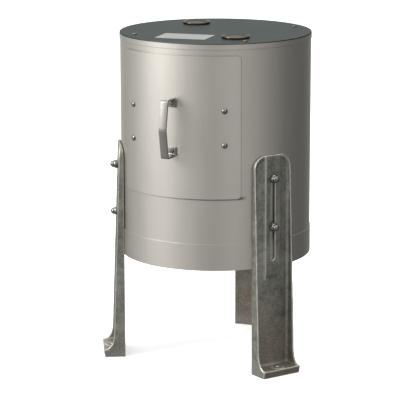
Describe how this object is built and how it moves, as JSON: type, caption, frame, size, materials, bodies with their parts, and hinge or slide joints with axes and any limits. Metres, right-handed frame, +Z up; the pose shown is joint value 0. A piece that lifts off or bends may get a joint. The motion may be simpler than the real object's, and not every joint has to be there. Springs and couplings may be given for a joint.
{
  "type": "gas forge",
  "caption": "Round steel drum forge on three slotted cast legs, with a lift-off curved door and bow handle, capped flues in a flat top and a gas burner low at the rear",
  "frame": {"origin": "on the floor under the drum's axis, at the centre of the feet's bolt circle", "axes": "+Z up, the door faces -Y, +X to the right seen from the door"},
  "size_m": [0.532, 0.5051, 0.7202],
  "materials": {
    "stainless_satin": "satin",
    "top_plate_steel": "satin",
    "stainless_polished": "polished",
    "zinc_steel": "satin",
    "cast_aluminium": "matte",
    "label_aluminium": "satin",
    "ceramic_fibre": "matte",
    "castable_refractory": "matte",
    "gasket_fibre": "matte",
    "brass": "satin",
    "cast_iron": "matte",
    "black_steel": "satin",
    "lever_enamel": "gloss"
  },
  "bodies": {
    "drum_body": {"shell": "stainless_satin", "bottom_pan": "stainless_satin", "top_band": "stainless_satin", "door_frame": "stainless_satin", "leg_stud_plates": "stainless_satin", "flue_collar_front": "stainless_satin", "flue_collar_rear": "stainless_satin", "flame_nozzle": "stainless_satin", "top_plate": "top_plate_steel", "top_mounting_ring": "top_plate_steel", "top_plate_screws": "stainless_polished", "leg_acorn_nuts": "stainless_polished", "leg_washers": "stainless_polished", "leg_studs": "zinc_steel", "leg_spacers": "zinc_steel", "burner_saddle": "zinc_steel", "burner_saddle_rivets": "zinc_steel", "burner_set_screws": "zinc_steel", "data_label": "label_aluminium", "fibre_blanket": "ceramic_fibre", "floor_board_lower": "ceramic_fibre", "floor_board_upper": "ceramic_fibre", "roof_board": "ceramic_fibre", "liner_left": "castable_refractory", "liner_rear": "castable_refractory", "liner_right": "castable_refractory", "door_lintel": "castable_refractory", "hearth_slab": "castable_refractory", "roof_slab": "castable_refractory", "jet_holder": "brass", "gas_jet": "brass", "valve_body": "brass", "valve_bonnet": "brass", "gas_inlet": "brass", "gas_elbow": "brass", "burner_mixer": "cast_iron", "burner_tube": "black_steel", "gas_riser": "black_steel"},
    "door_body": {"door_panel": "stainless_satin", "door_gasket": "gasket_fibre", "door_tray": "stainless_satin", "door_block": "ceramic_fibre", "door_clip_left": "stainless_satin", "door_clip_right": "stainless_satin", "door_bolts": "stainless_polished", "door_bolt_nuts": "zinc_steel", "door_handle": "stainless_satin", "handle_screws": "stainless_polished", "handle_nuts": "zinc_steel"},
    "leg_left_body": {"leg_left": "cast_aluminium"},
    "leg_right_body": {"leg_right": "cast_aluminium"},
    "leg_rear_body": {"leg_rear": "cast_aluminium"},
    "flue_cap_front_body": {"flue_cap_front": "stainless_polished"},
    "flue_cap_rear_body": {"flue_cap_rear": "stainless_polished"},
    "gas_valve_body": {"valve_ball": "stainless_polished", "valve_stem": "stainless_polished", "valve_lever": "lever_enamel", "valve_lever_nut": "zinc_steel"},
    "air_shutter_body": {"air_shutter": "zinc_steel"}
  },
  "joints": [
    {"name": "door_lift_off", "type": "slide", "parent": "drum_body", "child": "door_body", "axis": [0, -1, 0], "range_m": [0, 0.2]},
    {"name": "leg_left_height", "type": "slide", "parent": "drum_body", "child": "leg_left_body", "axis": [0, 0, 1], "range_m": [0, 0.0665]},
    {"name": "leg_right_height", "type": "slide", "parent": "drum_body", "child": "leg_right_body", "axis": [0, 0, 1], "range_m": [0, 0.0665]},
    {"name": "leg_rear_height", "type": "slide", "parent": "drum_body", "child": "leg_rear_body", "axis": [0, 0, 1], "range_m": [0, 0.0665]},
    {"name": "flue_cap_front_lift", "type": "slide", "parent": "drum_body", "child": "flue_cap_front_body", "axis": [0, 0, 1], "range_m": [0, 0.06]},
    {"name": "flue_cap_rear_lift", "type": "slide", "parent": "drum_body", "child": "flue_cap_rear_body", "axis": [0, 0, 1], "range_m": [0, 0.06]},
    {"name": "gas_valve_turn", "type": "hinge", "parent": "drum_body", "child": "gas_valve_body", "pos_m": [-0.28163, 0.1626, 0.388], "axis": [0.5, 0.866, 0], "range_deg": [0, 90]},
    {"name": "air_shutter_turn", "type": "hinge", "parent": "drum_body", "child": "air_shutter_body", "pos_m": [-0.26007, 0.15015, 0.453], "axis": [-0.866, 0.5, 0], "range_deg": [0, 45]}
  ]
}
